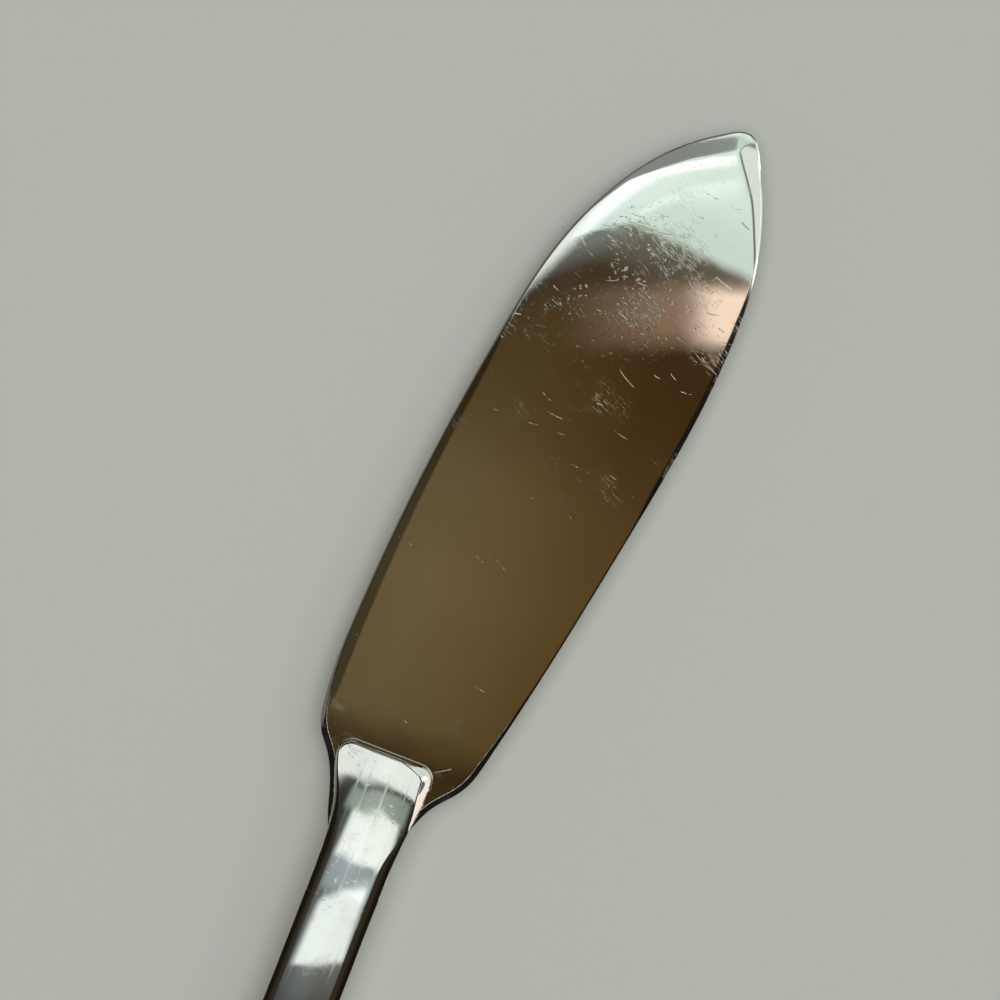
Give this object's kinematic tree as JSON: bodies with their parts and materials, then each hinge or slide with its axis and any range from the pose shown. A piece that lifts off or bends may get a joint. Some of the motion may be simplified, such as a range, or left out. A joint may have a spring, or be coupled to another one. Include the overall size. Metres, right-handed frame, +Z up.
{
  "type": "fish knife",
  "caption": "Fish knife with a broad flat polished blade swept to the spine side, a thick bolster with a rounded lip and a hollow flat-faced handle.",
  "frame": {"origin": "middle of the flat back of the handle, on the plane the knife lies on", "axes": "+X along the handle towards the tip of the blade, +Y across to the belly side of the blade, +Z up out of the front face"},
  "size_m": [0.203, 0.0292, 0.0054],
  "materials": {
    "polished_steel": "mirror polished, with fine scratches from use",
    "silver_braze": "silver brazing alloy, filed flush",
    "cement": "poured cement, matt"
  },
  "bodies": {
    "root": {"blade": "polished_steel", "handle_front_shell": "polished_steel", "handle_back_shell": "polished_steel", "seam_braze": "silver_braze", "bolster_solder": "silver_braze", "handle_cement": "cement"}
  },
  "joints": []
}
